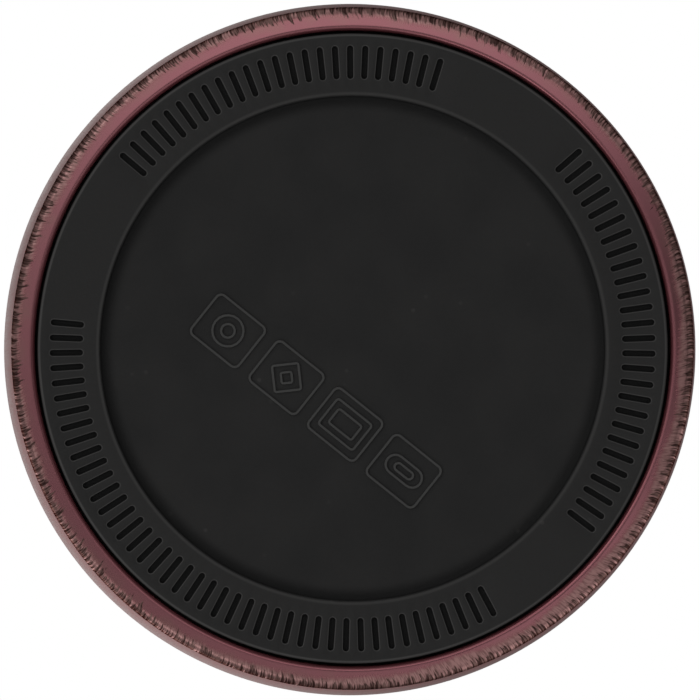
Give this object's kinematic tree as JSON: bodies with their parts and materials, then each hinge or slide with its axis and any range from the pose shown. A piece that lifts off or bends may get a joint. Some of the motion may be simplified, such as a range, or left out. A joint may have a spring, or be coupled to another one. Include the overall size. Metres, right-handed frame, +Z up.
{
  "type": "vacuum travel mug",
  "caption": "Tapered double-walled steel vacuum mug with a rubber base pad and a press-in drinking lid that a flip lever closes.",
  "frame": {"origin": "centre of the foot ring's underside, on the surface that the mug stands on", "axes": "+Z up the mug's axis; the drinker's side, with the drinking slot, is -Y; the lever's hinge lies along X"},
  "size_m": [0.082, 0.082, 0.188],
  "materials": {
    "tinted_steel": "translucent burgundy lacquer over brushed stainless steel",
    "bare_steel": "satin brushed",
    "copper_foil": "bright copper foil",
    "getter_metal": "sintered, matte",
    "solder_glass": "fused glass bead",
    "adhesive_tape": "double-sided adhesive film",
    "pad_rubber": "moulded, fine matte grain",
    "lid_plastic": "fine textured polypropylene",
    "foam": "expanded foam",
    "silicone": "satin silicone"
  },
  "bodies": {
    "mug": {"outer_shell": "tinted_steel", "base_cup": "tinted_steel", "liner_wall": "bare_steel", "liner_base": "bare_steel", "reflector_foil": "copper_foil", "getter_clip": "bare_steel", "getter_pill": "getter_metal", "seal_bead": "solder_glass", "seal_cover": "bare_steel", "pad_tape": "adhesive_tape", "base_pad": "pad_rubber"},
    "lid": {"lid_plug": "lid_plastic", "lid_insulation": "foam", "lid_drum": "lid_plastic", "lid_gasket": "silicone", "hinge_pin": "bare_steel"},
    "lever": {"flip_lever": "lid_plastic", "drink_stopper": "silicone", "vent_stopper": "silicone"}
  },
  "joints": [
    {"name": "lid_lift", "type": "slide", "parent": "mug", "child": "lid", "axis": [0, 0, 1], "range_m": [0, 0.06]},
    {"name": "lever_flip", "type": "hinge", "parent": "lid", "child": "lever", "pos_m": [0, 0, 0.185], "axis": [-1, 0, 0], "range_deg": [0, 170]}
  ]
}
